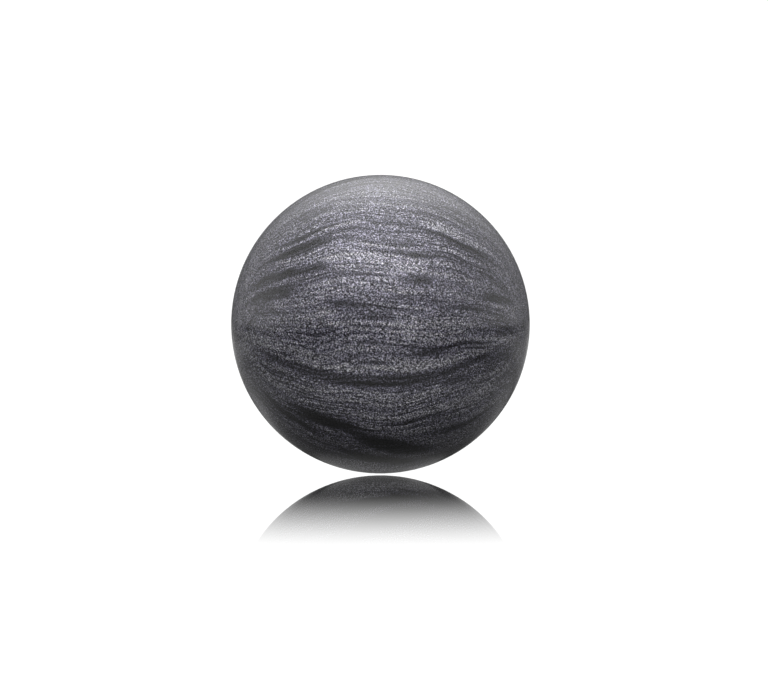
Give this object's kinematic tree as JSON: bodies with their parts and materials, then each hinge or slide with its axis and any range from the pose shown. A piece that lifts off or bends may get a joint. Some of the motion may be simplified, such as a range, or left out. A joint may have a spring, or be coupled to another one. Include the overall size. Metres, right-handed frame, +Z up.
{
  "type": "cue ball",
  "caption": "Plain unnumbered cue ball in dark pearl grey under a polished clear coat, cast in layers around a weighted heart.",
  "frame": {"origin": "centre of the ball", "axes": "+Z up and +X along the grain axis, which the two centring pins share; the pearl streaks run from one end of X to the other"},
  "size_m": [0.0572, 0.0572, 0.0572],
  "materials": {
    "filled_resin": "matte",
    "pin_resin": "satin",
    "dark_resin": "satin",
    "pearl_resin": "satin",
    "clear_resin": "polished"
  },
  "bodies": {
    "root": {"weighted_heart": "filled_resin", "left_centring_pin": "pin_resin", "right_centring_pin": "pin_resin", "dark_ground_coat": "dark_resin", "pearl_layer": "pearl_resin", "clear_coat": "clear_resin"}
  },
  "joints": []
}
